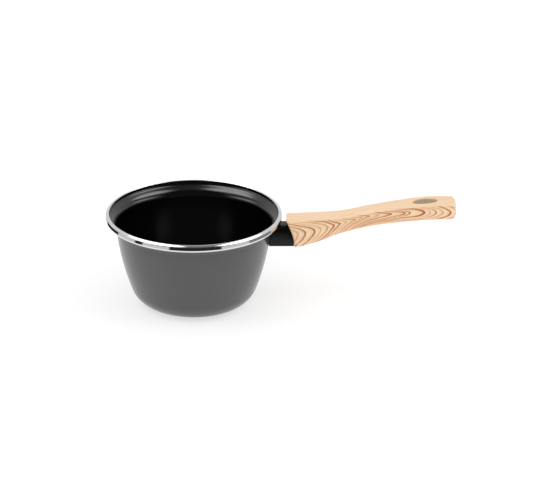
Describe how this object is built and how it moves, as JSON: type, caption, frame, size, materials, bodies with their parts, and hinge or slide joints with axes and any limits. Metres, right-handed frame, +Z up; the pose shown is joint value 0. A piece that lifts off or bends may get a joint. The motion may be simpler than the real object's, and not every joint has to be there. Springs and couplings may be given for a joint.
{
  "type": "saucepan",
  "caption": "Round-bellied enamelled saucepan with a polished rim band and a curved wood-effect handle with a hanging hole, screwed to a bracket behind a black flame guard.",
  "frame": {"origin": "centre of the flat base, at the height of the hob it stands on", "axes": "+Z up the pan's axis, +X along the handle, +Y to the left of someone looking along the handle from the pan"},
  "size_m": [0.3356, 0.1688, 0.1045],
  "materials": {
    "grey_enamel": "gloss grey enamel outside, black non-stick inside",
    "polished_steel": "mirror-polished stainless steel",
    "black_plastic": "satin black heat-resistant plastic",
    "wood_effect": "satin tan plastic with a printed wood grain",
    "plated_steel": "zinc-plated, satin"
  },
  "bodies": {
    "root": {"pan_shell": "grey_enamel", "rim_band": "polished_steel", "handle_bracket": "grey_enamel", "flame_guard": "black_plastic", "handle_grip": "wood_effect", "tang_nut": "plated_steel", "handle_screw": "plated_steel", "flat_washer": "plated_steel", "spring_washer": "plated_steel"}
  },
  "joints": []
}
